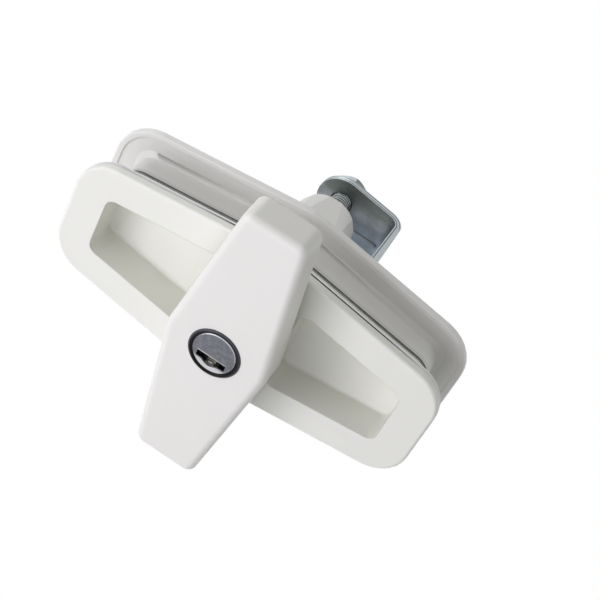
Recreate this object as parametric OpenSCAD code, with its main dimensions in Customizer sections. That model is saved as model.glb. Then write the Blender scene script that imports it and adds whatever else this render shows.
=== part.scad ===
// Twist lock for a sandwich-panel door: outer plate with two finger hollows, a
// lozenge twist handle with a wafer lock in its middle, an inner plate with a
// long boss, and a pressed hook on the end of the spindle.
// Every sub-part is drawn in the lock's own frame: x along the plates, y up and
// z out of the door towards the hand, with z = 0 on the door's outer face.
// stand() then turns that frame upright, so that z out becomes -Y.

/* [Door] */
// Thickness of the door panel between the gasket and the inner plate
door_t = 27; // [25:1:34]

/* [Plates] */
// Length of both plates
plate_l = 170; // [160:1:190]
// Height of both plates in the middle
plate_h = 79.8; // [76:0.2:90]
// Height of both plates at their ends
plate_end_h = 54.4; // [48:0.2:58]
// Radius of the plates' four corners
plate_corner_r = 17; // [12:1:20]
// Thickness of the outer plate's flange
flange_t = 4.2; // [3.6:0.1:5]
// Thickness of the foam gasket under the flange
gasket_t = 1.5; // [1:0.1:2.5]
// How far the flanges reach past the hole in the door
flange_overlap = 11.5; // [9:0.5:12.5]
// Width of the wall between the hole in the door and a finger hollow
hollow_wall = 3.3; // [2.6:0.1:4]
// Depth of the finger hollows below the plate's face
hollow_depth = 17.5; // [12:0.5:18]
// Thickness of the hollows' floor
floor_t = 2.2; // [1.6:0.1:2.6]
// Half of the width of the bridge between the two finger hollows
bridge_half = 19.5; // [19:0.5:26]
// Thickness of the inner plate at its rim
inner_t = 3.6; // [3.2:0.1:5]
// Length of the collar that the inner plate puts into the door's hole
collar_len = 12.4; // [8:0.2:12.6]

/* [Boss] */
// Length of the boss behind the inner plate
boss_len = 45.5; // [35:0.1:60]
// Radius of the boss at its round rim
boss_rim_r = 13.6; // [13:0.1:16]
// Radius of the boss over its six ridges, at the plate
boss_foot_r = 23; // [21:0.5:26]

/* [Handle] */
// Length of the handle
handle_l = 137; // [130:1:146]
// Width of the handle in the middle
handle_w = 46; // [44:0.5:50]
// Width of the handle at its ends
handle_end_w = 27.5; // [24:0.5:32]
// Thickness of the handle
handle_t = 15.6; // [15:0.1:19]
// Gap between the plate's face and the handle's back
handle_gap = 7.8; // [6:0.1:10]
// Wall of the handle's shell
handle_wall = 2.6; // [2.2:0.1:3]
// Angle past square at which the handle rests on its open stop
open_lean = 1; // [0:1:6]

/* [Lock] */
// Radius of the lock's black head
lock_head_r = 11.5; // [11:0.1:12.5]
// Radius of the lock's barrel
barrel_r = 9.5; // [9.3:0.1:9.6]
// Radius of the turning plug inside the barrel
plug_r = 7.9; // [7.7:0.1:8]
// Width of the key slot in the plug's face
key_w = 13; // [12:0.5:13]
// Height of the key slot
key_h = 3.2; // [2.6:0.1:3.3]
// Radius at which the cam's pin stands off the plug's axis
cam_throw = 3.2; // [2.8:0.1:3.3]
// Width of the locking bolt's nose
bolt_w = 8; // [6:0.5:9]
// Thickness of the locking bolt
bolt_t = 3; // [2.4:0.2:3]

/* [Spindle and hook] */
// Radius of the spindle
spindle_r = 5; // [4.5:0.1:5.5]
// Distance from the boss's rim to the hook
hook_standoff = 17.2; // [16:0.2:26]
// Thickness of the hook's steel strip
hook_t = 3; // [2.5:0.5:4]
// Width of the hook's leg
hook_w = 18; // [16:1:20]
// Distance from the spindle's axis to the leg's outer face
hook_reach = 29; // [25:0.5:36]
// Length of the hook's leg, from the arm's back to its nose
hook_leg = 34; // [30:1:40]
// Radius of the hook's eye
eye_r = 12; // [11:0.5:13]
// Angle by which the hook's arm hangs below the line across the handle
hook_lean = 3; // [0:1:5]

/* [Fit] */
// Radial clearance of a turning or sliding fit
run_gap = 0.05; // [0.03:0.01:0.08]
// Radial clearance of a pinned or pushed-in seat
seat_gap = 0.02; // [0.01:0.01:0.04]
// Clearance between pieces that don't touch
free_gap = 0.3; // [0.2:0.05:0.4]

/* [Hidden] */
$fn = 64;
hull_fn = 32;
eps = 0.01;
// How far a long cut reaches past what it cuts
over = 5;

// Levels along the axis, counted out of the door
face_z = flange_t + gasket_t;
back_z = face_z - hollow_depth - floor_t;
handle_back_z = face_z + handle_gap;
handle_face_z = handle_back_z + handle_t;
inner_z = -door_t;
inner_back_z = inner_z - inner_t;
rim_z = inner_back_z - boss_len;
arm_z = rim_z - hook_standoff;
arm_back_z = arm_z - hook_t;

// Plate outlines: [half length, half height in the middle, half height at the ends]
plate = [plate_l / 2, plate_h / 2, plate_end_h / 2];
lozenge = [handle_l / 2, handle_w / 2, handle_end_w / 2];
plate_edge_r = 1.3;
plate_mid_r = 30;
handle_edge_r = 3.2;
handle_corner_r = 4.6;
handle_mid_r = 12;

function edge_slope(o) = (o[1] - o[2]) / o[0];
function edge_stretch(o) = sqrt(1 + edge_slope(o) * edge_slope(o));
function inset(o, d) = [
    o[0] - d,
    o[1] - d * edge_stretch(o),
    o[1] - d * edge_stretch(o) - edge_slope(o) * (o[0] - d)
];
// Centre of a corner circle of radius r that touches the end and the long edge
function corner_at(o, r) = [o[0] - r, o[1] - edge_slope(o) * (o[0] - r) - r * edge_stretch(o)];
// Centre of a circle of radius r that touches both long edges where they meet
function middle_at(o, r) = [0, o[1] - r * edge_stretch(o)];

// Hollows, bearing and stops of the outer plate
hollow_inset = flange_overlap + hollow_wall;
hollow_corner_r = 4.5;
washer_t = 0.8;
journal_r = 12.5;
shoulder_r = 16;
bearing_r = journal_r + run_gap;
bearing_wall_r = bridge_half - 0.5;
notch_depth = 4.9;
post_r = 4.6;
screw_r = 2.4;
pilot_r = screw_r + run_gap;
screw_grip = 10;
screw_x = plate_l / 2 - 26;
screw_y = 8.5;
core_skin = 4;
stop_lug_r = plate_h / 2 - flange_overlap - 3.9;
stop_lug_w = 5;
stop_root = 2.5;
stop_lug_deg = 12;
stop_rib_deg = 8;
stop_gap_deg = 0.4;
stop_lug_at = 90;
closing_turn = 90 + open_lean;

// Hub, from the handle's back to its tail
hub_flange_t = 4;
hub_flange_w = 31;
hub_flange_l = 62;
hub_flange_z = handle_back_z + 2.1;
hub_screw_x = 10;
hub_screw_y = 25;
hub_screw_r = 1.9;
hub_screw_grip = 6;
handle_rib_l = 24;
handle_rib_t = 2;
handle_rib_x = handle_l / 4 + handle_rib_l / 2;
cover_t = 2;
stop_t = 2;
stop_square = 17;
stop_z = back_z - run_gap;
tail_r = 8.2;
tail_z = inner_z + 1;
clip_t = 1.2;
clip_z = stop_z - stop_t - run_gap;
clip_r = 11;
clip_groove = 0.8;
pin_r = 1.5;
pin_z = clip_z - clip_t - 3.2;
spindle_top_z = -1.2;

// Lock, from its face to the bolt
head_proud = 0.8;
head_bevel = 0.8;
head_bore_r = lock_head_r - 1.1;
plug_head_r = 9.5;
plug_neck_r = 9;
plug_neck_depth = 2;
plug_sunk = 0.3;
bolt_floor_z = 0.4;
bolt_z = bolt_floor_z + 0.1;
cam_z = bolt_z + bolt_t + 0.3;
cam_t = 2.2;
cam_r = plug_r + 0.4;
cam_pin_r = 1.6;
cam_pin_gap = 0.16;
plug_back_z = cam_z + cam_t;
housing_back_z = plug_back_z + 0.1;
lock_top_z = handle_face_z + head_proud;
key_top = -2.45;
key_low = key_top - key_h;
key_mouth_r = 5.1;
key_mouth_drop = 1.7;
key_mouth_depth = 2.6;
plug_key_w = key_w - 3.4;
wafer_w = 4;
wafer_t = 0.9;
wafer_tall = 1.4;
wafer_count = 5;
wafer_pitch = 2.6;
wafer_top = key_low + 0.5;
wafer_travel = 0.5;
bolt_stroke = 2 * cam_throw * sin(45);
bolt_nose_r = journal_r - 0.15;
yoke_half_x = 5;
yoke_low = -5;
yoke_high = cam_throw + cam_pin_r + cam_pin_gap + 1.5;
cavity_r = barrel_r + 0.3;

// Boss, bush, hook and nut
collar_wall = 2.5;
rim_band = 2.6;
rim_recess = 0.8;
root_w = 2.2;
root_h = 1.6;
boss_flat_rim = boss_rim_r - 0.3;
boss_flat_foot = boss_foot_r * cos(30);
boss_end_t = 5;
boss_wall = 3;
bush_r = 8;
bush_len = 12;
bush_flange_t = 1.4;
bush_flange_r = 10.5;
flat_af = 1.6 * spindle_r;
hook_bend_r = 4;
hook_hole_gap = 0.3;
side_flange = 13;
side_flange_from = -4;
side_relief = 0.35;
side_bend_r = 0.8;
side_flange_to = hook_reach - hook_t - side_relief;
spring_washer_t = 2;
nut_t = 7.8;
nut_hex_t = 5.6;
nut_collar_r = 6.9;
nut_af = 3.2 * spindle_r;
spindle_end = 2.8;
spindle_tip_z = arm_back_z - spring_washer_t - nut_t - spindle_end;

// Turns the lock's frame upright: z out of the door becomes -Y, y becomes Z
module stand() {
    rotate([90, 0, 0]) children();
}

// The pieces that turn with the handle, as they stand on the open stop
module turned() {
    rotate(open_lean) children();
}

// The pieces on the spindle, whose flats hang a little below the handle's cross line
module hung() {
    rotate(-hook_lean) children();
}

// A round disc between two levels, its front and back edges rounded
module puck(r, low, high, front_r, back_r) {
    translate([0, 0, low])
        rotate_extrude($fn = hull_fn) {
            square([r - max(front_r, back_r), high - low]);
            translate([0, back_r]) square([r, high - low - front_r - back_r]);
            intersection() {
                square([r, high - low]);
                union() {
                    translate([r - back_r, back_r]) circle(back_r, $fn = hull_fn);
                    translate([r - front_r, high - low - front_r]) circle(front_r, $fn = hull_fn);
                }
            }
        }
}

// A solid with a six-sided outline, round corners and round edges
module rounded_solid(o, corner_r, middle_r, low, high, front_r, back_r) {
    corner = corner_at(o, corner_r);
    middle = middle_at(o, middle_r);
    hull() {
        for (sx = [-1, 1], sy = [-1, 1])
            translate([sx * corner[0], sy * corner[1], 0])
                puck(corner_r, low, high, front_r, back_r);
        for (sy = [-1, 1])
            translate([0, sy * middle[1], 0])
                puck(middle_r, low, high, front_r, back_r);
    }
}

// The same outline as a straight-sided prism
module prism(o, corner_r, low, high) {
    corner = corner_at(o, corner_r);
    lean = atan(edge_slope(o));
    tip = corner_r * [sin(lean), cos(lean)];
    shoulder = [corner[0] + tip[0], corner[1] + tip[1]];
    translate([0, 0, low])
        linear_extrude(high - low) {
            polygon([
                [o[0], corner[1]], shoulder, [0, o[1]], [-shoulder[0], shoulder[1]],
                [-o[0], corner[1]], [-o[0], -corner[1]], [-shoulder[0], -shoulder[1]],
                [0, -o[1]], [shoulder[0], -shoulder[1]], [o[0], -corner[1]]
            ]);
            for (sx = [-1, 1], sy = [-1, 1])
                translate([sx * corner[0], sy * corner[1]]) circle(corner_r);
        }
}

module at_plate_screws() {
    for (sx = [-1, 1], sy = [-1, 1])
        translate([sx * screw_x, sy * screw_y, 0]) children();
}

module at_hub_screws() {
    for (sx = [-1, 1], sy = [-1, 1])
        translate([sx * hub_screw_x, sy * hub_screw_y, 0]) children();
}

// A sector of a flat ring, counted anticlockwise from the x axis
module ring_sector(inner, outer, from, to, low, high) {
    translate([0, 0, low])
        rotate(from)
            rotate_extrude(angle = to - from)
                translate([inner, 0]) square([outer - inner, high - low]);
}

// One finger hollow, open towards the hand
module finger_hollow() {
    o = inset(plate, hollow_inset);
    corner = corner_at(o, hollow_corner_r);
    near = bridge_half + hollow_corner_r;
    near_y = o[1] - edge_slope(o) * near - hollow_corner_r * edge_stretch(o);
    hull()
        for (sy = [-1, 1]) {
            translate([corner[0], sy * corner[1], back_z + floor_t])
                puck(hollow_corner_r, 0, hollow_depth + 1, 0.2, 1.5);
            translate([near, sy * near_y, back_z + floor_t])
                puck(hollow_corner_r, 0, hollow_depth + 1, 0.2, 1.5);
        }
}

// The hollow back of the bridge: the corners around the bearing are cored out
module bridge_cores() {
    o = inset(plate, flange_overlap + hollow_wall);
    difference() {
        intersection() {
            prism(o, hollow_corner_r, back_z - 1, face_z - core_skin);
            translate([-bridge_half + 2.4, -plate_h, back_z - 1])
                cube([2 * bridge_half - 4.8, 2 * plate_h, hollow_depth + floor_t]);
        }
        translate([0, 0, back_z - 2]) cylinder(r = bearing_wall_r, h = hollow_depth + floor_t + 2);
    }
}

// Two grooves in the bearing that take the bolt's nose, one for each stop
module bolt_notches() {
    for (turn = [open_lean, open_lean - closing_turn])
        rotate(turn)
            translate([0, -bolt_w / 2 - free_gap, back_z - 1])
                cube([
                    journal_r + notch_depth,
                    bolt_w + 2 * free_gap,
                    bolt_z + bolt_t + free_gap - back_z + 1
                ]);
}

// A rib that stops the lug, on a wider root that joins it to the plate's wall
module stop_rib(from) {
    inner = stop_lug_r - stop_lug_w;
    ring_sector(inner, stop_lug_r + free_gap, from, from + stop_rib_deg, back_z - stop_t - 1, back_z + 1);
    ring_sector(inner, stop_lug_r + stop_root, from, from + stop_rib_deg, back_z, back_z + stop_root);
}

module front_plate() {
    lug_half = stop_lug_deg / 2 + stop_gap_deg;
    open_side = stop_lug_at + open_lean + lug_half;
    closed_side = stop_lug_at + open_lean - closing_turn - lug_half;
    color("whitesmoke")
        difference() {
            union() {
                rounded_solid(plate, plate_corner_r, plate_mid_r,
                    gasket_t, face_z, plate_edge_r, 1);
                prism(inset(plate, flange_overlap), plate_corner_r / 2, back_z, gasket_t + 1);
                at_plate_screws()
                    translate([0, 0, inner_z + free_gap])
                        cylinder(r = post_r, h = back_z - inner_z + 1);
                stop_rib(open_side);
                stop_rib(closed_side - stop_rib_deg);
            }
            finger_hollow();
            mirror([1, 0, 0]) finger_hollow();
            bridge_cores();
            bolt_notches();
            translate([0, 0, back_z - over]) cylinder(r = bearing_r, h = face_z - back_z + 2 * over);
            at_plate_screws()
                translate([0, 0, inner_z])
                    cylinder(r = pilot_r, h = screw_grip + 1, $fn = 32);
        }
}

// Foam gasket between the flange and the door
module front_gasket() {
    color("white")
        difference() {
            prism(inset(plate, 0.4), plate_corner_r, 0, gasket_t);
            prism(inset(plate, flange_overlap - 1), plate_corner_r / 2, -1, gasket_t + 1);
        }
}

// Six flats meet in ridges at the plate and fade out at the round rim
module boss_form(rim_r, foot_r, flat_rim, flat_foot, low, high) {
    intersection() {
        translate([0, 0, low]) cylinder(r1 = rim_r, r2 = foot_r, h = high - low);
        translate([0, 0, low])
            cylinder(
                r1 = flat_rim / cos(30),
                r2 = flat_foot / cos(30),
                h = high - low,
                $fn = 6
            );
    }
}

// Sloping root between the collar and the recess around it
module collar_root() {
    wide = inset(plate, flange_overlap - root_w);
    high = inset(plate, flange_overlap);
    hull() {
        translate([0, 0, inner_z - rim_recess - eps]) prism(wide, plate_corner_r / 2, 0, eps, $fn = hull_fn);
        translate([0, 0, inner_z - rim_recess + root_h]) prism(high, plate_corner_r / 2, 0, eps, $fn = hull_fn);
    }
}

module rear_plate() {
    collar = inset(plate, flange_overlap);
    color("gainsboro")
        difference() {
            union() {
                rounded_solid(plate, plate_corner_r + 2, plate_mid_r, inner_back_z, inner_z, 0.8, 0.8);
                prism(collar, plate_corner_r / 2, inner_z - 2, inner_z + collar_len);
                collar_root();
                boss_form(boss_rim_r, boss_foot_r, boss_flat_rim, boss_flat_foot,
                    rim_z, inner_back_z + 1);
            }
            difference() {
                rounded_solid(inset(plate, rim_band), plate_corner_r - 1, plate_mid_r,
                    inner_z - rim_recess, inner_z + 1, 0.2, rim_recess);
                prism(collar, plate_corner_r / 2, inner_z - 2, inner_z + 2);
                collar_root();
            }
            difference() {
                prism(inset(collar, collar_wall), plate_corner_r / 2 - 2,
                    inner_z, inner_z + collar_len + 1);
                for (sx = [-1, 1])
                    translate([sx * (boss_foot_r + 8), 0, inner_z])
                        cube([16, 2, 10], center = true);
            }
            translate([0, 0, rim_z + boss_end_t])
                cylinder(
                    r1 = boss_rim_r - boss_wall,
                    r2 = boss_foot_r - 2 * boss_wall,
                    h = inner_z - rim_z - boss_end_t + eps
                );
            translate([0, 0, rim_z - 1]) cylinder(r = bush_r, h = boss_end_t + 2);
            at_plate_screws()
                translate([0, 0, inner_back_z - 1])
                    cylinder(r = screw_r + free_gap, h = inner_t + 3, $fn = 32);
        }
}

// Pan-head screws that pull the two plates together through the door
module plate_screws() {
    color("silver")
        at_plate_screws() {
            translate([0, 0, inner_back_z - eps])
                cylinder(r = screw_r, h = inner_t + screw_grip, $fn = 32);
            difference() {
                translate([0, 0, inner_back_z - 2.6])
                    cylinder(r1 = 3.2, r2 = 4.6, h = 2.6, $fn = 32);
                for (turn = [0, 90])
                    rotate(turn)
                        translate([-2.6, -0.5, inner_back_z - 3]) cube([5.2, 1, 2]);
            }
        }
}

// Nylon washer between the handle's shoulder and the plate
module thrust_washer() {
    color("ivory")
        translate([0, 0, face_z])
            difference() {
                cylinder(r = shoulder_r, h = washer_t);
                translate([0, 0, -1]) cylinder(r = journal_r + 0.2, h = washer_t + 2);
            }
}

module handle_shell() {
    inner = inset(lozenge, handle_wall);
    boss_top = handle_face_z - handle_wall;
    color("white")
        difference() {
            union() {
                rotate(90)
                    difference() {
                        rounded_solid(lozenge, handle_corner_r, handle_mid_r,
                            handle_back_z, handle_face_z, handle_edge_r, 0.8);
                        rounded_solid(inner, handle_corner_r - 1.6, handle_mid_r - 1.6,
                            handle_back_z - 1, boss_top, 1.4, 0.2);
                    }
                at_hub_screws()
                    translate([0, 0, hub_flange_z + hub_flange_t + 0.1])
                        cylinder(r = 3.8, h = boss_top - hub_flange_z - hub_flange_t);
                for (sy = [-1, 1])
                    translate([
                        -handle_rib_t / 2,
                        sy * handle_rib_x - handle_rib_l / 2,
                        handle_back_z + cover_t + 0.2
                    ])
                        cube([handle_rib_t, handle_rib_l, boss_top - handle_back_z - cover_t]);
            }
            translate([0, 0, boss_top - 1]) cylinder(r = barrel_r + 0.1, h = handle_wall + 2);
            at_hub_screws()
                translate([0, 0, hub_flange_z + hub_flange_t])
                    cylinder(r = hub_screw_r + run_gap, h = hub_screw_grip + 1, $fn = 32);
        }
}

// Moulded cover that closes the handle's back around the shoulder
module handle_back() {
    inner = inset(lozenge, handle_wall + 0.2);
    color("white")
        difference() {
            rotate(90) prism(inner, handle_corner_r - 2, handle_back_z, handle_back_z + cover_t);
            translate([0, 0, handle_back_z - 1]) cylinder(r = shoulder_r + 0.1, h = cover_t + 2);
        }
}

// Die-cast hub: flange inside the handle, shoulder, journal, square and tail
module handle_hub() {
    color("darkgray")
        difference() {
            union() {
                translate([0, 0, hub_flange_z]) {
                    intersection() {
                        translate([-hub_flange_w / 2, -hub_flange_l / 2, 0])
                            cube([hub_flange_w, hub_flange_l, hub_flange_t]);
                        cylinder(r = hub_flange_l / 2, h = hub_flange_t);
                    }
                }
                translate([0, 0, face_z + washer_t])
                    cylinder(r = shoulder_r, h = hub_flange_z + hub_flange_t - face_z - washer_t);
                translate([0, 0, back_z])
                    cylinder(r = journal_r, h = face_z + 1 - back_z);
                intersection() {
                    translate([-stop_square / 2, -stop_square / 2, clip_z])
                        cube([stop_square, stop_square, back_z - clip_z + 1]);
                    translate([0, 0, clip_z]) cylinder(r = journal_r - 1.5, h = back_z - clip_z + 1);
                }
                translate([0, 0, tail_z]) cylinder(r = tail_r, h = clip_z - tail_z + 1);
            }
            translate([0, 0, bolt_z + bolt_t + 0.1])
                cylinder(r = cavity_r, h = handle_t + handle_gap);
            translate([-bolt_stroke / 2 - yoke_half_x - 0.4, yoke_low - 0.15, bolt_floor_z])
                cube([
                    2 * yoke_half_x + bolt_stroke + 0.8,
                    yoke_high - yoke_low + 0.3,
                    bolt_t + 0.3
                ]);
            translate([0, -bolt_w / 2 - 0.15, bolt_floor_z])
                cube([journal_r + 2, bolt_w + 0.3, bolt_t + 0.2]);
            translate([0, 0, tail_z - 1])
                cylinder(r = spindle_r + seat_gap, h = spindle_top_z - tail_z + 1 + seat_gap);
            translate([0, 0, clip_z - clip_t])
                difference() {
                    cylinder(r = tail_r + 1, h = clip_t + eps);
                    translate([0, 0, -1]) cylinder(r = tail_r - clip_groove, h = clip_t + 2);
                }
            translate([0, 0, pin_z])
                rotate([90, 0, 0])
                    cylinder(r = pin_r + seat_gap, h = 2 * tail_r + 4, center = true, $fn = 32);
            at_hub_screws()
                translate([0, 0, hub_flange_z - eps]) {
                    cylinder(r = hub_screw_r + 0.2, h = hub_flange_t + 1, $fn = 32);
                    cylinder(r1 = hub_screw_r + 2, r2 = hub_screw_r + 0.2, h = 2, $fn = 32);
                }
        }
}

// Countersunk screws from the hub's flange into the handle's bosses
module hub_screws() {
    color("silver")
        at_hub_screws()
            translate([0, 0, hub_flange_z + 0.1]) {
                cylinder(r = hub_screw_r, h = hub_flange_t + hub_screw_grip - 0.1, $fn = 32);
                cylinder(r1 = hub_screw_r + 1.7, r2 = hub_screw_r, h = 1.7, $fn = 32);
            }
}

// Stamped plate on the hub's square: its lug meets the ribs at both stops
module stop_plate() {
    half = stop_square / 2 + run_gap;
    color("lightsteelblue")
        difference() {
            union() {
                translate([0, 0, stop_z - stop_t]) cylinder(r = bearing_wall_r - 2, h = stop_t);
                ring_sector(journal_r, stop_lug_r, stop_lug_at - stop_lug_deg / 2,
                    stop_lug_at + stop_lug_deg / 2, stop_z - stop_t, stop_z);
            }
            intersection() {
                translate([-half, -half, stop_z - stop_t - 1])
                    cube([2 * half, 2 * half, stop_t + 2]);
                translate([0, 0, stop_z - stop_t - 1])
                    cylinder(r = journal_r - 1.5 + run_gap, h = stop_t + 2);
            }
        }
}

// Spring-steel ring in the groove of the hub's tail
module hub_circlip() {
    color("dimgray")
        translate([0, 0, clip_z - clip_t + run_gap])
            difference() {
                cylinder(r = clip_r, h = clip_t - 2 * run_gap);
                translate([0, 0, -1])
                    cylinder(r = tail_r - clip_groove + run_gap, h = clip_t + 2);
                translate([-2.5, 0, -1]) cube([5, clip_r + 1, clip_t + 2]);
            }
}

// Steel spindle with two flats for the hook and a cross hole for its pin
module spindle() {
    color("silver")
        difference() {
            translate([0, 0, spindle_tip_z])
                cylinder(r = spindle_r, h = spindle_top_z - spindle_tip_z);
            for (sy = [-1, 1])
                translate([
                    -spindle_r - 1,
                    sy > 0 ? flat_af / 2 : -flat_af / 2 - spindle_r,
                    spindle_tip_z - 1
                ])
                    cube([2 * spindle_r + 2, spindle_r, arm_z - spindle_tip_z + 1]);
            translate([0, 0, pin_z])
                rotate([90, 0, hook_lean])
                    cylinder(r = pin_r + seat_gap, h = 3 * spindle_r, center = true, $fn = 32);
            translate([0, 0, spindle_tip_z])
                difference() {
                    translate([0, 0, -eps]) cylinder(r = spindle_r + 1, h = 1);
                    translate([0, 0, -2 * eps])
                        cylinder(r1 = spindle_r - 1, r2 = spindle_r + 0.04, h = 1 + 3 * eps);
                }
        }
}

module spindle_pin() {
    color("dimgray")
        translate([0, 0, pin_z])
            rotate([90, 0, 0])
                cylinder(r = pin_r, h = 2 * tail_r - 0.6, center = true, $fn = 32);
}

// Flanged nylon bush in the end of the boss
module spindle_bush() {
    color("ivory")
        difference() {
            union() {
                translate([0, 0, rim_z]) cylinder(r = bush_r, h = bush_len);
                translate([0, 0, rim_z - bush_flange_t])
                    cylinder(r = bush_flange_r, h = bush_flange_t);
            }
            translate([0, 0, rim_z - bush_flange_t - 1])
                cylinder(r = spindle_r + run_gap, h = bush_len + bush_flange_t + 2);
        }
}

// Outline of the hook's arm: round eye, then sides that close in to the leg
module arm_outline() {
    lean = asin((eye_r - hook_w / 2) / hook_reach);
    union() {
        circle(eye_r);
        polygon([
            [eye_r * sin(lean), eye_r * cos(lean)],
            [hook_reach + 1, hook_w / 2],
            [hook_reach + 1, -hook_w / 2],
            [eye_r * sin(lean), -eye_r * cos(lean)]
        ]);
    }
}

// Side view of the strip: flat arm, round bend and leg, in the x-z plane
module strip_profile(length, reach, t, bend) {
    outer = bend + t;
    translate([-eye_r - 1, -t]) square([reach - outer + eye_r + 1, t]);
    translate([reach - t, bend]) square([t, length - outer]);
    intersection() {
        translate([reach - outer, bend])
            difference() {
                circle(outer);
                circle(bend);
            }
        translate([reach - outer, -t]) square([outer, outer]);
    }
}

// Pressed hook: arm with an eye, a leg bent forward, and a stiffening side flange
module hook() {
    flange_outer = hook_t + side_bend_r;
    color("lightslategray")
        difference() {
            union() {
                intersection() {
                    translate([0, 0, arm_z])
                        rotate([90, 0, 0])
                            linear_extrude(2 * eye_r + 2, center = true)
                                strip_profile(hook_leg, hook_reach, hook_t, hook_bend_r);
                    translate([0, 0, arm_back_z - 1])
                        linear_extrude(hook_leg + 2) arm_outline();
                }
                translate([side_flange_from, -hook_w / 2, arm_z])
                    rotate([90, 0, 90])
                        linear_extrude(side_flange_to - side_flange_from) {
                            translate([-hook_t, side_bend_r])
                                square([hook_t, side_flange - flange_outer]);
                            intersection() {
                                translate([side_bend_r, side_bend_r])
                                    difference() {
                                        circle(flange_outer);
                                        circle(side_bend_r);
                                    }
                                translate([-hook_t, -hook_t]) square(flange_outer);
                            }
                        }
            }
            translate([0, 0, arm_back_z - 1])
                linear_extrude(hook_t + 2)
                    intersection() {
                        circle(spindle_r + hook_hole_gap);
                        square([4 * spindle_r, flat_af + 0.2], center = true);
                    }
        }
}

// Split spring washer under the nut
module spring_washer() {
    color("silver")
        translate([0, 0, arm_back_z - spring_washer_t])
            difference() {
                cylinder(r = 1.7 * spindle_r, h = spring_washer_t);
                translate([0, 0, -1]) cylinder(r = spindle_r + 0.2, h = spring_washer_t + 2);
                rotate(200) translate([0, -0.4, -1]) cube([2 * spindle_r, 0.8, spring_washer_t + 2]);
            }
}

// Self-locking nut: chamfered hexagon with a round collar that holds the insert
module hook_nut() {
    corner = nut_af / 2 / cos(30);
    top_z = arm_back_z - spring_washer_t;
    hex_end = top_z - nut_hex_t;
    nut_end = top_z - nut_t;
    color("silver")
        difference() {
            union() {
                intersection() {
                    translate([0, 0, hex_end]) rotate(30) cylinder(r = corner, h = nut_hex_t, $fn = 6);
                    translate([0, 0, hex_end - eps])
                        cylinder(r1 = nut_af / 2 - 0.2, r2 = nut_af / 2 + 5.6, h = nut_hex_t + 2 * eps);
                }
                translate([0, 0, nut_end])
                    rotate_extrude()
                        polygon([
                            [0, 0], [nut_collar_r - 1, 0], [nut_collar_r, 1],
                            [nut_collar_r, nut_t - nut_hex_t + 1], [0, nut_t - nut_hex_t + 1]
                        ]);
            }
            translate([0, 0, nut_end - 1]) cylinder(r = spindle_r + run_gap, h = nut_t + 2);
        }
}

// Black-finished lock housing: head ring on the handle's face and round barrel
module lock_housing() {
    color([0.1, 0.1, 0.11])
        difference() {
            union() {
                translate([0, 0, housing_back_z])
                    cylinder(r = barrel_r, h = handle_face_z - housing_back_z + eps);
                translate([0, 0, handle_face_z])
                    rotate_extrude()
                        polygon([
                            [0, 0], [lock_head_r, 0], [lock_head_r, head_proud - head_bevel * 0.7],
                            [lock_head_r - head_bevel, head_proud], [0, head_proud]
                        ]);
            }
            translate([0, 0, housing_back_z - 1])
                cylinder(r = plug_r + run_gap, h = lock_top_z - housing_back_z + 2);
            translate([0, 0, lock_top_z - plug_neck_depth])
                cylinder(r = plug_neck_r + 0.1, h = plug_neck_depth + 1);
            translate([0, 0, handle_face_z + run_gap])
                cylinder(r1 = plug_head_r + 0.1, r2 = head_bore_r, h = head_proud);
        }
}

// Thin nut that holds the housing in the handle's front wall
module lock_nut() {
    top_z = handle_face_z - handle_wall;
    color("darkgray")
        difference() {
            translate([0, 0, top_z - 3]) cylinder(r = barrel_r + 4.2, h = 3, $fn = 6);
            translate([0, 0, top_z - 4]) cylinder(r = barrel_r + run_gap, h = 5);
        }
}

// The key's way: wide slot, bowed mouth below it and a channel for the wafers
module keyway() {
    low = wafer_top - wafer_tall - wafer_travel - 0.1;
    channel = wafer_count * wafer_pitch;
    translate([-key_w / 2, key_low, lock_top_z - key_mouth_depth]) cube([key_w, key_h, 4]);
    translate([-plug_key_w / 2, key_low, lock_top_z - key_mouth_depth - channel - 3])
        cube([plug_key_w, key_h, channel + 4]);
    translate([-wafer_w / 2 - 0.1, low, lock_top_z - key_mouth_depth - channel])
        cube([wafer_w + 0.2, key_low - low + 0.1, channel + eps]);
    intersection() {
        translate([0, key_low - key_mouth_drop + key_mouth_r, lock_top_z - key_mouth_depth])
            cylinder(r = key_mouth_r, h = 4);
        translate([-key_mouth_r, key_low - key_mouth_r, lock_top_z - key_mouth_depth])
            cube([2 * key_mouth_r, key_mouth_r + 0.1, 4]);
    }
}

// Turning plug: body, neck and head with a chamfered rim, a key slot below its middle
module lock_plug() {
    head_low = handle_face_z + 2 * run_gap;
    head_high = lock_top_z - plug_sunk;
    neck_low = lock_top_z - plug_neck_depth + 0.1;
    color("gray")
        difference() {
            union() {
                translate([0, 0, plug_back_z]) cylinder(r = plug_r, h = neck_low + 0.5 - plug_back_z);
                translate([0, 0, neck_low]) cylinder(r = plug_neck_r, h = head_low + 0.1 - neck_low);
                translate([0, 0, head_low])
                    rotate_extrude()
                        polygon([
                            [0, 0], [plug_head_r, 0], [plug_head_r, 0.1],
                            [plug_head_r - 0.3, head_high - head_low], [0, head_high - head_low]
                        ]);
            }
            keyway();
            translate([0, 0, plug_back_z - 1]) cylinder(r = 1.6, h = 7, $fn = 32);
        }
}

// Sprung wafers that the key presses down
module plug_wafers() {
    color("gold")
        for (i = [0 : wafer_count - 1])
            translate([
                -wafer_w / 2,
                wafer_top - wafer_tall,
                lock_top_z - key_mouth_depth - 0.1 - wafer_t - i * wafer_pitch
            ])
                cube([wafer_w, wafer_tall, wafer_t]);
}

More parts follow.
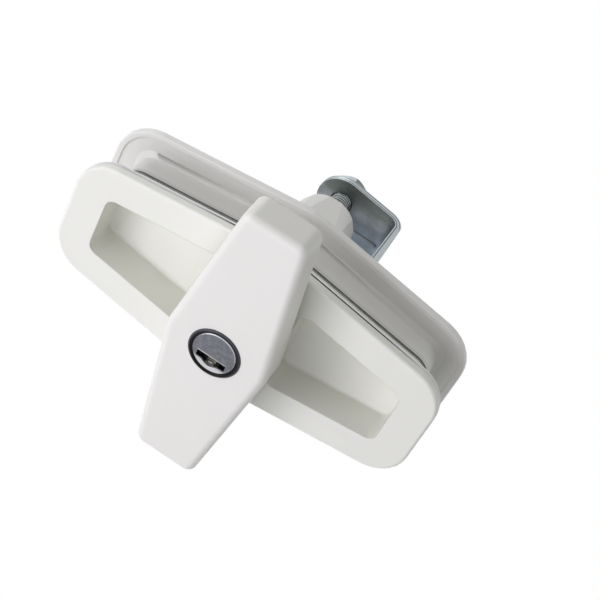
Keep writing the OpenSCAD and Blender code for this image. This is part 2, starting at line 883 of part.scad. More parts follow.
// Cam on the plug's back: its pin stands off the axis and drives the bolt
module lock_cam() {
    color("lightsteelblue")
        difference() {
            union() {
                translate([0, 0, cam_z]) cylinder(r = cam_r, h = cam_t);
                rotate(135)
                    translate([cam_throw, 0, bolt_z + 0.1])
                        cylinder(r = cam_pin_r, h = cam_z - bolt_z, $fn = 32);
            }
            translate([0, 0, cam_z - 1]) cylinder(r = 1.6 + run_gap, h = cam_t + 2, $fn = 32);
            translate([0, 0, cam_z - eps])
                cylinder(r1 = 2.6, r2 = 1.6, h = 1.2, $fn = 32);
        }
}

module cam_screw() {
    color("silver")
        union() {
            translate([0, 0, cam_z + 0.2]) cylinder(r = 1.55, h = cam_t + 5, $fn = 32);
            translate([0, 0, cam_z + 0.1]) cylinder(r1 = 2.4, r2 = 1.5, h = 1.05, $fn = 32);
        }
}

// Locking bolt: a yoke that the cam's pin slides, and a nose for the notches
module lock_bolt() {
    mid_x = -bolt_stroke / 2;
    slot_half = cam_pin_r + cam_pin_gap;
    slot_low = cam_throw * sin(45) - slot_half;
    slot_high = cam_throw + slot_half;
    color("lightsteelblue")
        translate([0, 0, bolt_z])
            difference() {
                union() {
                    translate([mid_x - yoke_half_x, yoke_low, 0])
                        cube([2 * yoke_half_x, yoke_high - yoke_low, bolt_t]);
                    intersection() {
                        translate([mid_x, -bolt_w / 2, 0]) cube([journal_r, bolt_w, bolt_t]);
                        cylinder(r = bolt_nose_r, h = bolt_t);
                    }
                }
                translate([mid_x - slot_half, slot_low, -1])
                    cube([2 * slot_half, slot_high - slot_low, bolt_t + 2]);
            }
}

stand() front_plate();
stand() front_gasket();
stand() rear_plate();
stand() plate_screws();
stand() thrust_washer();
stand() turned() handle_shell();
stand() turned() handle_back();
stand() turned() handle_hub();
stand() turned() hub_screws();
stand() turned() stop_plate();
stand() turned() hub_circlip();
stand() turned() hung() spindle();
stand() turned() spindle_pin();
stand() spindle_bush();
stand() turned() hung() hook();
stand() turned() hung() spring_washer();
stand() turned() hung() hook_nut();
stand() turned() lock_housing();
stand() turned() lock_nut();
stand() turned() lock_plug();
stand() turned() plug_wafers();
stand() turned() lock_cam();
stand() turned() cam_screw();
stand() turned() lock_bolt();
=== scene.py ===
"""Looks of a twist lock for a panel door: plates, handle, key lock, threaded spindle and hook."""

import math

import bmesh
import bpy
from bpy.props import (
    FloatProperty, FloatVectorProperty, IntProperty, PointerProperty, StringProperty)
from mathutils import Matrix, Vector


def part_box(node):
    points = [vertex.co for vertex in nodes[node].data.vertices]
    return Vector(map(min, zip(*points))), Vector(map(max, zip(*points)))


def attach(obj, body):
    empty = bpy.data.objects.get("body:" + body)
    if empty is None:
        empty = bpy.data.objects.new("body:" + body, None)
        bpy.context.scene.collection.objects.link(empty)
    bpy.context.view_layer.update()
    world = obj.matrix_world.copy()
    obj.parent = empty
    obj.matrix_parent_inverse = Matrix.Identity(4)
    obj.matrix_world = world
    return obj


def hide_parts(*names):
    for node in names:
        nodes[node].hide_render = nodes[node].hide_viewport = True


bl_info = {
    "name": "Twist lock",
    "version": (1, 0, 0),
    "blender": (4, 5, 0),
    "location": "3D View > Sidebar > Twist lock",
    "description": "Finishes, threaded spindle and studio of a twist lock for a panel door",
    "category": "Object",
}

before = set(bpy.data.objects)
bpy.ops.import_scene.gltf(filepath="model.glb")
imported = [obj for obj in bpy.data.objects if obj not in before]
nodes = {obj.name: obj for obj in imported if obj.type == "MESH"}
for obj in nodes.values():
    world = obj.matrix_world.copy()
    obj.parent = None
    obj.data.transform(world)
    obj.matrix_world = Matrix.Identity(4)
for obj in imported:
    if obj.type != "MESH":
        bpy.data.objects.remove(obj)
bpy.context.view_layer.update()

MM = 0.001
# The spindle and the hook are turned this far about the spindle's axis from square with the plates.
HUNG = math.radians(-2)
# Thickness of the hook's strip, in millimetres.
HOOK_SHEET = 3
# Share of Y in its normal below which a face counts as a side wall.
WALL_SLANT = 0.5
# Samples of the shader that rounds edges.
BEVEL_SAMPLES = 4

SENSOR_WIDTH = 36
LOCK_MIDDLE = Vector((0, 0.03, 0))
FLOOR_HEIGHT = -0.22
FLOOR_HALF = 3.0
# Name, place, side, watts and colour of each lamp.
LAMPS = (
    ("left_softbox", (-0.5, -0.75, 0.15), 0.5, 4.2, "#F8F7FF"),
    ("front_softbox", (0.0, -1.4, -0.1), 0.9, 9.0, "#F8F7FF"),
    ("top_softbox", (0.0, -0.2, 1.4), 0.9, 3.9, "#FBFCFF"),
    ("left_top_fill", (-1.0, -0.3, 0.9), 0.9, 2.7, "#FCFBFF"),
    ("left_fill", (-1.3, -0.2, 0.3), 0.9, 1.7, "#FCFBFF"),
    ("right_back_fill", (1.1, 0.5, 0.5), 0.9, 4.5, "#FFFFFF"),
    ("left_back_fill", (-0.8, 0.9, 0.6), 0.9, 5.5, "#FFFFFF"),
)


def linear(hex_colour):
    """Linear RGBA of an sRGB hex colour."""
    channels = [int(hex_colour[i:i + 2], 16) / 255 for i in (1, 3, 5)]
    light = [c / 12.92 if c <= 0.04045 else ((c + 0.055) / 1.055) ** 2.4 for c in channels]
    return (*light, 1.0)


def add_node(tree, kind, settings=None, inputs=None):
    """A new node with its settings, its values and what feeds it."""
    new = tree.nodes.new(kind)
    for name, value in (settings or {}).items():
        setattr(new, name, value)
    for name, value in (inputs or {}).items():
        if isinstance(value, bpy.types.NodeSocket):
            tree.links.new(value, new.inputs[name])
        else:
            new.inputs[name].default_value = value
    return new


def new_material(name, build, *details, **more):
    """A material: build fills its empty tree from the details and returns the last shader."""
    material = bpy.data.materials.new(name)
    material.use_nodes = True
    tree = material.node_tree
    tree.nodes.clear()
    surface = build(tree, *details, **more)
    add_node(tree, "ShaderNodeOutputMaterial", inputs={"Surface": surface.outputs[0]})
    return material


def per_mm(size):
    """Scale of a pattern whose features are size millimetres wide, for coordinates in metres."""
    return 1 / (size * MM)


def on_side_walls(tree):
    """1 on the faces that run along Y, such as a flange's side walls, and 0 on the others."""
    facing = add_node(tree, "ShaderNodeSeparateXYZ", inputs={
        "Vector": add_node(tree, "ShaderNodeNewGeometry").outputs["Normal"]})
    lean = add_node(tree, "ShaderNodeMath", {"operation": "ABSOLUTE"}, {0: facing.outputs["Y"]})
    wall = add_node(tree, "ShaderNodeMath", {"operation": "LESS_THAN"}, {
        0: lean.outputs[0], 1: WALL_SLANT})
    return wall.outputs[0]


def off_axis(tree, at):
    """Distance from the spindle's axis, in metres."""
    across = add_node(tree, "ShaderNodeCombineXYZ", inputs={
        "X": at.outputs["X"], "Z": at.outputs["Z"]})
    radius = add_node(tree, "ShaderNodeVectorMath", {"operation": "LENGTH"}, {
        0: across.outputs[0]})
    return radius.outputs["Value"]


def relief(tree, height, strength, depth, edge):
    """Fine relief, depth millimetres deep, over edges that are rounded by edge millimetres."""
    rounded = add_node(tree, "ShaderNodeBevel", {"samples": BEVEL_SAMPLES}, {"Radius": edge * MM})
    bump = add_node(tree, "ShaderNodeBump", inputs={
        "Strength": strength, "Distance": depth * MM, "Height": height,
        "Normal": rounded.outputs["Normal"]})
    return bump.outputs["Normal"]


def painted_joint_shade(tree, where, tone, start, end, fade):
    """Paints shade on a moulding's side walls where they meet the next one, dark at the gap
    and fading out beside it.

    The painted shade is dark from start to end along Y and fades out over fade past it, all in
    metres."""
    shade_beside_joint = 0.35
    at = add_node(tree, "ShaderNodeSeparateXYZ", inputs={"Vector": where})
    # The dark painted shade in the gap, and the painted shade fading out beside it.
    gap_shade = add_node(tree, "ShaderNodeMath", {"operation": "COMPARE"}, {
        0: at.outputs["Y"], 1: (start + end) / 2, 2: abs(end - start) / 2})
    shade_fade = add_node(tree, "ShaderNodeMapRange", inputs={
        "Value": at.outputs["Y"], "From Min": start, "From Max": end + fade,
        "To Min": shade_beside_joint, "To Max": 0.0})
    dark = add_node(tree, "ShaderNodeMath", {"operation": "MAXIMUM"}, {
        0: gap_shade.outputs[0], 1: shade_fade.outputs["Result"]})
    amount = add_node(tree, "ShaderNodeMath", {"operation": "MULTIPLY"}, {
        0: dark.outputs[0], 1: on_side_walls(tree)})
    return add_node(tree, "ShaderNodeMixRGB", inputs={
        "Fac": amount.outputs[0], "Color1": tone.outputs["Color"], "Color2": linear("#1C1B1A")})


def moulded(tree, colour, shade, grain, roughness, edge, joint=None):
    """Injection-moulded plastic: an even colour, a very slight cloudiness, a fine eroded grain.

    The grain is drawn coarser than the mould's, which is too fine to show here. The last
    argument places painted shade on the side walls where the moulding meets the next one."""
    where = add_node(tree, "ShaderNodeTexCoord").outputs["Object"]
    cloud = add_node(tree, "ShaderNodeTexNoise", inputs={
        "Vector": where, "Scale": per_mm(26), "Detail": 2.0})
    tone = add_node(tree, "ShaderNodeMixRGB", inputs={
        "Fac": cloud.outputs["Fac"], "Color1": linear(colour), "Color2": linear(shade)})
    # Painted shade where this moulding meets the next one.
    if joint:
        tone = painted_joint_shade(tree, where, tone, *joint)
    rough = add_node(tree, "ShaderNodeMapRange", inputs={
        "Value": cloud.outputs["Fac"], "To Min": roughness - 0.05, "To Max": roughness + 0.05})
    fine = add_node(tree, "ShaderNodeTexNoise", inputs={
        "Vector": where, "Scale": per_mm(grain), "Detail": 3.0})
    return add_node(tree, "ShaderNodeBsdfPrincipled", inputs={
        "Base Color": tone.outputs["Color"], "Roughness": rough.outputs["Result"], "IOR": 1.53,
        "Specular IOR Level": 0.35,
        "Normal": relief(tree, fine.outputs["Fac"], strength=0.12, depth=0.02, edge=edge)})


def plated(tree, colour, tint, roughness, spread, streak, edge):
    """Plated or bare metal, stamped or cast smooth: faint clouds of two tones, fine lines along Y.

    The roughness differs by spread with the clouds, and the lines are streak millimetres apart."""
    where = add_node(tree, "ShaderNodeTexCoord").outputs["Object"]
    cloud = add_node(tree, "ShaderNodeTexNoise", inputs={
        "Vector": where, "Scale": per_mm(7), "Detail": 4.0})
    tone = add_node(tree, "ShaderNodeMixRGB", inputs={
        "Fac": cloud.outputs["Fac"], "Color1": linear(colour), "Color2": linear(tint)})
    rough = add_node(tree, "ShaderNodeMapRange", inputs={
        "Value": cloud.outputs["Fac"], "From Min": 0.3, "From Max": 0.7,
        "To Min": roughness - spread, "To Max": roughness + spread})
    stretched = add_node(tree, "ShaderNodeMapping", inputs={
        "Vector": where, "Scale": (1.0, 0.25, 1.0)})
    lines = add_node(tree, "ShaderNodeTexNoise", inputs={
        "Vector": stretched.outputs["Vector"], "Scale": per_mm(streak), "Detail": 3.0})
    return add_node(tree, "ShaderNodeBsdfPrincipled", inputs={
        "Base Color": tone.outputs["Color"], "Metallic": 1.0, "Roughness": rough.outputs["Result"],
        "Normal": relief(tree, lines.outputs["Fac"], strength=0.25, depth=0.03, edge=edge)})


def depth_in_strip(tree, where, at, bend_x, bend_y, bend_r):
    """How deep a point lies in the hook's strip, from its inner face, in metres.

    The bend's middle is at bend_x across the spindle and bend_y along it, bend_r inside."""
    across = add_node(tree, "ShaderNodeVectorMath", {"operation": "DOT_PRODUCT"}, {
        0: where, 1: (math.cos(HUNG), 0.0, math.sin(HUNG))})
    past = []
    for value, start in ((across.outputs["Value"], bend_x), (at.outputs["Y"], bend_y)):
        beyond = add_node(tree, "ShaderNodeMath", {"operation": "SUBTRACT"}, {0: value, 1: start})
        past.append(add_node(tree, "ShaderNodeMath", {"operation": "MAXIMUM"}, {
            0: beyond.outputs[0], 1: 0.0}))
    corner = add_node(tree, "ShaderNodeCombineXYZ", inputs={
        "X": past[0].outputs[0], "Y": past[1].outputs[0]})
    reach = add_node(tree, "ShaderNodeVectorMath", {"operation": "LENGTH"}, {
        0: corner.outputs[0]})
    into = add_node(tree, "ShaderNodeMath", {"operation": "SUBTRACT"}, {
        0: reach.outputs["Value"], 1: bend_r})
    return into.outputs[0]


def pressed(tree, colour, tint, sheared, fracture, fold, strip, edge):
    """Zinc-plated strip, blanked and bent: cool clouds on the rolled faces, darker towards the
    top as painted shade, a sheared edge with two thin lines of painted shade that follow the
    strip through its bend, and painted shade in the crease inside the side bend. The outer line
    fades out on the leg."""
    # Middle and half width of each band of the sheared edge, from the strip's inner face.
    sheared_band = (1.5, 1.42)
    inner_line = (0.8, 0.19)
    outer_line = (2.35, 0.17)
    # Where the outer line is gone and where it is full, past the bend's middle.
    line_gone, line_full = -1, 3
    # The side flange's top, and the painted shade along the crease of its bend: its height and
    # its place before the arm's inner face, each with its half width.
    flange_top = -7.5
    crease_height, crease_half = -9.3, 0.5
    crease_ahead, crease_reach = 0.3, 0.4
    where = add_node(tree, "ShaderNodeTexCoord").outputs["Object"]
    at = add_node(tree, "ShaderNodeSeparateXYZ", inputs={"Vector": where})
    bend_x, bend_y, bend_r = strip
    into = depth_in_strip(tree, where, at, bend_x, bend_y, bend_r)
    upper = add_node(tree, "ShaderNodeMath", {"operation": "GREATER_THAN"}, {
        0: at.outputs["Z"], 1: flange_top * MM})
    # The middle band is the sheared edge; the two thin lines on it are painted shade.
    masks = []
    for middle, half in (sheared_band, inner_line, outer_line):
        inside = add_node(tree, "ShaderNodeMath", {"operation": "COMPARE"}, {
            0: into, 1: middle * MM, 2: half * MM})
        masks.append(add_node(tree, "ShaderNodeMath", {"operation": "MULTIPLY"}, {
            0: inside.outputs[0], 1: upper.outputs[0]}))
    before_leg = add_node(tree, "ShaderNodeMapRange", inputs={
        "Value": at.outputs["Y"], "From Min": bend_y + line_gone * MM,
        "From Max": bend_y + line_full * MM})
    faded = add_node(tree, "ShaderNodeMath", {"operation": "MULTIPLY"}, {
        0: masks[2].outputs[0], 1: before_leg.outputs["Result"]})
    lines = add_node(tree, "ShaderNodeMath", {"operation": "MAXIMUM"}, {
        0: masks[1].outputs[0], 1: faded.outputs[0]})
    # Painted shade in the crease inside the side bend.
    low = add_node(tree, "ShaderNodeMath", {"operation": "COMPARE"}, {
        0: at.outputs["Z"], 1: crease_height * MM, 2: crease_half * MM})
    front = add_node(tree, "ShaderNodeMath", {"operation": "COMPARE"}, {
        0: at.outputs["Y"], 1: bend_y + bend_r - crease_ahead * MM, 2: crease_reach * MM})
    crease_shade = add_node(tree, "ShaderNodeMath", {"operation": "MULTIPLY"}, {
        0: low.outputs[0], 1: front.outputs[0]})
    cloud = add_node(tree, "ShaderNodeTexNoise", inputs={
        "Vector": where, "Scale": per_mm(6), "Detail": 5.0})
    # Painted shade, darker towards the top.
    height = add_node(tree, "ShaderNodeMapRange", inputs={
        "Value": at.outputs["Z"], "From Min": -6 * MM, "From Max": 5 * MM,
        "To Min": -0.3, "To Max": 0.5})
    spread = add_node(tree, "ShaderNodeMath", {"operation": "ADD", "use_clamp": True}, {
        0: cloud.outputs["Fac"], 1: height.outputs["Result"]})
    tone = add_node(tree, "ShaderNodeMixRGB", inputs={
        "Fac": spread.outputs[0], "Color1": linear(colour), "Color2": linear(tint)})
    cut = add_node(tree, "ShaderNodeMixRGB", inputs={
        "Fac": masks[0].outputs[0], "Color1": tone.outputs["Color"], "Color2": linear(sheared)})
    with_edge_shade = add_node(tree, "ShaderNodeMixRGB", inputs={
        "Fac": lines.outputs[0], "Color1": cut.outputs["Color"], "Color2": linear(fracture)})
    with_crease_shade = add_node(tree, "ShaderNodeMixRGB", inputs={
        "Fac": crease_shade.outputs[0], "Color1": with_edge_shade.outputs["Color"], "Color2": linear(fold)})
    rough = add_node(tree, "ShaderNodeMapRange", inputs={
        "Value": cloud.outputs["Fac"], "From Min": 0.3, "From Max": 0.7,
        "To Min": 0.38, "To Max": 0.5})
    fine = add_node(tree, "ShaderNodeTexNoise", inputs={
        "Vector": where, "Scale": per_mm(0.6), "Detail": 3.0})
    return add_node(tree, "ShaderNodeBsdfPrincipled", inputs={
        "Base Color": with_crease_shade.outputs["Color"], "Metallic": 1.0,
        "Roughness": rough.outputs["Result"],
        "Normal": relief(tree, fine.outputs["Fac"], strength=0.25, depth=0.03, edge=edge)})


def painted(tree, colour, pale_band, bevel_r, roughness, edge):
    """Black satin paint on a zinc casting: a slight orange peel, and a lighter grey on the outer
    bevel, which starts bevel_r millimetres off the axis."""
    bevel_fade = 0.12
    where = add_node(tree, "ShaderNodeTexCoord").outputs["Object"]
    at = add_node(tree, "ShaderNodeSeparateXYZ", inputs={"Vector": where})
    bevel_band = add_node(tree, "ShaderNodeMapRange", inputs={
        "Value": off_axis(tree, at), "From Min": (bevel_r - bevel_fade) * MM,
        "From Max": (bevel_r + bevel_fade) * MM})
    tone = add_node(tree, "ShaderNodeMixRGB", inputs={
        "Fac": bevel_band.outputs["Result"], "Color1": linear(colour), "Color2": linear(pale_band)})
    peel = add_node(tree, "ShaderNodeTexNoise", inputs={
        "Vector": where, "Scale": per_mm(0.8), "Detail": 2.0})
    rough = add_node(tree, "ShaderNodeMapRange", inputs={
        "Value": peel.outputs["Fac"], "To Min": roughness - 0.06, "To Max": roughness + 0.06})
    return add_node(tree, "ShaderNodeBsdfPrincipled", inputs={
        "Base Color": tone.outputs["Color"], "Roughness": rough.outputs["Result"], "IOR": 1.4,
        "Specular IOR Level": 0.2,
        "Normal": relief(tree, peel.outputs["Fac"], strength=0.2, depth=0.02, edge=edge)})


def threaded(tree, crest, root, crest_r, root_r, roughness, flat, flats_from, end):
    """Zinc-plated steel with a rolled thread: light crests, and painted shade in the roots.

    The flats, flat off the axis from flats_from on, and the cut end are bright too. All lengths
    are in millimetres."""
    dark_share = 0.3
    flat_play = 0.04
    end_play = 0.03
    where = add_node(tree, "ShaderNodeTexCoord").outputs["Object"]
    at = add_node(tree, "ShaderNodeSeparateXYZ", inputs={"Vector": where})
    # Painted shade in the thread's roots, fading out towards the crests.
    height = add_node(tree, "ShaderNodeMapRange", inputs={
        "Value": off_axis(tree, at),
        "From Min": (root_r + dark_share * (crest_r - root_r)) * MM, "From Max": crest_r * MM})
    beside = add_node(tree, "ShaderNodeVectorMath", {"operation": "DOT_PRODUCT"}, {
        0: where, 1: (-math.sin(HUNG), 0.0, math.cos(HUNG))})
    aside = add_node(tree, "ShaderNodeMath", {"operation": "ABSOLUTE"}, {
        0: beside.outputs["Value"]})
    level = add_node(tree, "ShaderNodeMath", {"operation": "GREATER_THAN"}, {
        0: aside.outputs[0], 1: (flat - flat_play) * MM})
    far = add_node(tree, "ShaderNodeMath", {"operation": "GREATER_THAN"}, {
        0: at.outputs["Y"], 1: flats_from * MM})
    on_flat = add_node(tree, "ShaderNodeMath", {"operation": "MULTIPLY"}, {
        0: level.outputs[0], 1: far.outputs[0]})
    on_end = add_node(tree, "ShaderNodeMath", {"operation": "GREATER_THAN"}, {
        0: at.outputs["Y"], 1: (end - end_play) * MM})
    plain_steel = add_node(tree, "ShaderNodeMath", {"operation": "MAXIMUM"}, {
        0: on_flat.outputs[0], 1: on_end.outputs[0]})
    shine = add_node(tree, "ShaderNodeMath", {"operation": "MAXIMUM"}, {
        0: height.outputs["Result"], 1: plain_steel.outputs[0]})
    tone = add_node(tree, "ShaderNodeMixRGB", inputs={
        "Fac": shine.outputs[0], "Color1": linear(root), "Color2": linear(crest)})
    cloud = add_node(tree, "ShaderNodeTexNoise", inputs={
        "Vector": where, "Scale": per_mm(3), "Detail": 3.0})
    rough = add_node(tree, "ShaderNodeMapRange", inputs={
        "Value": cloud.outputs["Fac"], "To Min": roughness - 0.06, "To Max": roughness + 0.06})
    return add_node(tree, "ShaderNodeBsdfPrincipled", inputs={
        "Base Color": tone.outputs["Color"], "Metallic": 1.0,
        "Roughness": rough.outputs["Result"]})


def foam(tree, colour, band_colour, flange):
    """Closed-cell foam cut from sheet: matt, slightly pitted, with a black band on its side
    walls next to the flange, whose back is at flange along Y in metres.

    The band is full along the middle and fades towards both ends."""
    band_depth = 0.7
    band_middle, band_full, band_end = 15, 36, 55
    where = add_node(tree, "ShaderNodeTexCoord").outputs["Object"]
    at = add_node(tree, "ShaderNodeSeparateXYZ", inputs={"Vector": where})
    at_flange = add_node(tree, "ShaderNodeMath", {"operation": "LESS_THAN"}, {
        0: at.outputs["Y"], 1: flange + band_depth * MM})
    line = add_node(tree, "ShaderNodeMath", {"operation": "MULTIPLY"}, {
        0: at_flange.outputs[0], 1: on_side_walls(tree)})
    aside = add_node(tree, "ShaderNodeMath", {"operation": "SUBTRACT"}, {
        0: at.outputs["X"], 1: band_middle * MM})
    apart = add_node(tree, "ShaderNodeMath", {"operation": "ABSOLUTE"}, {0: aside.outputs[0]})
    reaches = add_node(tree, "ShaderNodeMapRange", inputs={
        "Value": apart.outputs[0], "From Min": band_full * MM, "From Max": band_end * MM,
        "To Min": 1.0, "To Max": 0.2})
    black_band = add_node(tree, "ShaderNodeMath", {"operation": "MULTIPLY"}, {
        0: line.outputs[0], 1: reaches.outputs["Result"]})
    tone = add_node(tree, "ShaderNodeMixRGB", inputs={
        "Fac": black_band.outputs[0], "Color1": linear(colour), "Color2": linear(band_colour)})
    cells = add_node(tree, "ShaderNodeTexVoronoi", inputs={
        "Vector": where, "Scale": per_mm(0.4)})
    pits = add_node(tree, "ShaderNodeBump", inputs={
        "Strength": 0.5, "Distance": 0.08 * MM, "Height": cells.outputs["Distance"]})
    return add_node(tree, "ShaderNodeBsdfPrincipled", inputs={
        "Base Color": tone.outputs["Color"], "Roughness": 0.85, "Normal": pits.outputs["Normal"]})


def turned_face(tree, colour, tint, bright, inside, rim_r, slot, face_y, edge):
    """Nickel plating on a die-cast plug: mottled on the face and polished on the turned rim, with
    a painted highlight along the slot's top edge, painted light that grows down the face below
    the slot, and painted shade inside the slot.

    The rim starts rim_r off the axis and the slot is its half width, foot and top, all in
    millimetres. The face is at face_y along Y, in metres."""
    half, low, high = slot
    # Millimetres: where the painted light below the slot starts and is full, the line of painted
    # highlight along the slot's top edge, and where the painted shade in the slot stops.
    mouth_start, mouth_end = low + 0.6, low - 1.2
    highlight_middle, highlight_half = high + 0.15, 0.17
    slot_foot = low - 1.35
    # The rim's polish, and the strength of the painted light towards the foot of the mouth.
    rim_polish = 0.6
    mouth_light = 0.85
    where = add_node(tree, "ShaderNodeTexCoord").outputs["Object"]
    at = add_node(tree, "ShaderNodeSeparateXYZ", inputs={"Vector": where})
    on_rim = add_node(tree, "ShaderNodeMath", {"operation": "GREATER_THAN"}, {
        0: off_axis(tree, at), 1: rim_r * MM})
    # Painted light, from none inside the slot to full on the face below the foot of the mouth.
    below = add_node(tree, "ShaderNodeMapRange", inputs={
        "Value": at.outputs["Z"], "From Min": mouth_start * MM, "From Max": mouth_end * MM,
        "To Min": 0.0, "To Max": mouth_light})
    # A painted highlight in a thin line along the slot's top edge.
    above = add_node(tree, "ShaderNodeMath", {"operation": "COMPARE"}, {
        0: at.outputs["Z"], 1: highlight_middle * MM, 2: highlight_half * MM})
    aside = add_node(tree, "ShaderNodeMath", {"operation": "COMPARE"}, {
        0: at.outputs["X"], 1: 0.0, 2: half * MM})
    pale_band = add_node(tree, "ShaderNodeMath", {"operation": "MULTIPLY"}, {
        0: above.outputs[0], 1: aside.outputs[0]})
    painted_light = add_node(tree, "ShaderNodeMath", {"operation": "MAXIMUM"}, {
        0: pale_band.outputs[0], 1: below.outputs["Result"]})
    turned = add_node(tree, "ShaderNodeMath", {"operation": "MULTIPLY"}, {
        0: on_rim.outputs[0], 1: rim_polish})
    # The turned rim's polish together with the painted highlight and painted light.
    polish_and_highlight = add_node(tree, "ShaderNodeMath", {"operation": "MAXIMUM"}, {
        0: turned.outputs[0], 1: painted_light.outputs[0]})
    mottle = add_node(tree, "ShaderNodeTexNoise", inputs={
        "Vector": where, "Scale": per_mm(1.6), "Detail": 5.0, "Roughness": 0.65})
    spread = add_node(tree, "ShaderNodeMapRange", inputs={
        "Value": mottle.outputs["Fac"], "From Min": 0.35, "From Max": 0.65})
    tone = add_node(tree, "ShaderNodeMixRGB", inputs={
        "Fac": spread.outputs["Result"], "Color1": linear(colour), "Color2": linear(tint)})
    finish = add_node(tree, "ShaderNodeMixRGB", inputs={
        "Fac": polish_and_highlight.outputs[0], "Color1": tone.outputs["Color"], "Color2": linear(bright)})
    # Painted shade in the slot, from 0.35 mm to 1 mm deep, stopping short of the mouth's foot.
    deep = add_node(tree, "ShaderNodeMapRange", inputs={
        "Value": at.outputs["Y"], "From Min": face_y + 0.35 * MM, "From Max": face_y + 1.0 * MM})
    in_slot = add_node(tree, "ShaderNodeMath", {"operation": "GREATER_THAN"}, {
        0: at.outputs["Z"], 1: slot_foot * MM})
    slot_shade = add_node(tree, "ShaderNodeMath", {"operation": "MULTIPLY"}, {
        0: deep.outputs["Result"], 1: in_slot.outputs[0]})
    sunk = add_node(tree, "ShaderNodeMixRGB", inputs={
        "Fac": slot_shade.outputs[0], "Color1": finish.outputs["Color"],
        "Color2": linear(inside)})
    rough = add_node(tree, "ShaderNodeMapRange", inputs={
        "Value": polish_and_highlight.outputs[0], "To Min": 0.42, "To Max": 0.26})
    return add_node(tree, "ShaderNodeBsdfPrincipled", inputs={
        "Base Color": sunk.outputs["Color"], "Metallic": 1.0, "Roughness": rough.outputs["Result"],
        "Normal": relief(tree, mottle.outputs["Fac"], strength=0.3, depth=0.03, edge=edge)})


def dress(names, material):
    """Gives CAD nodes their finish and shades their round faces smooth."""
    for name in names:
        mesh = nodes[name].data
        mesh.materials.clear()
        mesh.materials.append(material)
        for face in mesh.polygons:
            face.use_smooth = True


def new_piece(name, verts, faces, material, body):
    """A piece of points in metres that rides on a body, with its faces turned outwards."""
    mesh = bpy.data.meshes.new(name)
    mesh.from_pydata([tuple(v) for v in verts], [], faces)
    mesh.validate()
    shape = bmesh.new()
    shape.from_mesh(mesh)
    bmesh.ops.recalc_face_normals(shape, faces=shape.faces)
    shape.to_mesh(mesh)
    shape.free()
    mesh.materials.append(material)
    piece = bpy.data.objects.new(name, mesh)
    bpy.context.scene.collection.objects.link(piece)
    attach(piece, body)
    return piece


def lathe(rings, sides, radius_at):
    """Points and faces of a bar along Y. The rings are its stations along Y, and radius_at gives
    the radius at a station and an angle."""
    verts = []
    for y in rings:
        for i in range(sides):
            turn = 2 * math.pi * i / sides
            r = radius_at(y, turn)
            verts.append((r * math.cos(turn), y, r * math.sin(turn)))
    faces = []
    for k in range(len(rings) - 1):
        for i in range(sides):
            j = (i + 1) % sides
            faces.append((k * sides + i, k * sides + j, (k + 1) * sides + j, (k + 1) * sides + i))
    faces.append(tuple(range(sides)))
    faces.append(tuple(reversed(range((len(rings) - 1) * sides, len(rings) * sides))))
    return verts, faces


def softbox(name, place, side, watts, colour):
    """A square lamp that faces the middle of the lock."""
    data = bpy.data.lights.new(name, "AREA")
    data.shape = "RECTANGLE"
    data.size = data.size_y = side
    data.energy = watts
    data.color = linear(colour)[:3]
    lamp = bpy.data.objects.new(name, data)
    bpy.context.scene.collection.objects.link(lamp)
    lamp.location = place
    lamp.rotation_euler = (LOCK_MIDDLE - Vector(place)).to_track_quat("-Z", "Y").to_euler()


def seen_by_eye_or_gloss(tree):
    """1 for rays from the eye, from gloss and through glass, which see the studio as white."""
    rays = add_node(tree, "ShaderNodeLightPath")
    mirrored = add_node(tree, "ShaderNodeMath", {"operation": "MAXIMUM"}, {
        0: rays.outputs["Is Glossy Ray"], 1: rays.outputs["Is Transmission Ray"]})
    seen = add_node(tree, "ShaderNodeMath", {"operation": "MAXIMUM"}, {
        0: rays.outputs["Is Camera Ray"], 1: mirrored.outputs[0]})
    return seen.outputs[0]


def paper(tree):
    """Pale matt paper for the light that it throws back; the eye and gloss see it pure white."""
    matt = add_node(tree, "ShaderNodeBsdfDiffuse", inputs={"Color": linear("#E6E6E6")})
    white = add_node(tree, "ShaderNodeEmission", inputs={
        "Color": linear("#FFFFFF"), "Strength": 1.0})
    return add_node(tree, "ShaderNodeMixShader", inputs={
        0: seen_by_eye_or_gloss(tree), 1: matt.outputs[0], 2: white.outputs[0]})


class PlateSettings(bpy.types.PropertyGroup):
    colour: StringProperty(
        name="Colour", description="sRGB hex colour of the outer plate", default="#E9E9E1")
    inner: StringProperty(
        name="Inner", description="sRGB hex colour of the inner plate", default="#E9E8E4")
    edge: FloatProperty(
        name="Edge", description="Rounding of the outer plate's edges, in millimetres",
        default=0.7, min=0.1, max=1.5)
    root: FloatProperty(
        name="Root", description="Rounding of the inner plate's edges and roots, in millimetres",
        default=0.5, min=0.1, max=2.5)


class HandleSettings(bpy.types.PropertyGroup):
    colour: StringProperty(
        name="Colour", description="sRGB hex colour of the handle", default="#E8E7E1")
    edge: FloatProperty(
        name="Edge", description="Rounding of the handle's edges, in millimetres",
        default=0.9, min=0.1, max=2.0)


class SpindleSettings(bpy.types.PropertyGroup):
    pitch: FloatProperty(
        name="Pitch", description="Thread pitch in millimetres", default=1.5, min=0.5, max=3.0)
    depth: FloatProperty(
        name="Depth", description="Thread depth in millimetres", default=0.85, min=0.2, max=1.2)
    thread: FloatProperty(
        name="Thread", description="Threaded length in millimetres", default=27, min=10, max=60)
    flats: FloatProperty(
        name="Flats", description="Width over the two flats in millimetres", default=8)
    sides: IntProperty(
        name="Sides", description="Points in one turn of the thread", default=72, min=24, max=144)


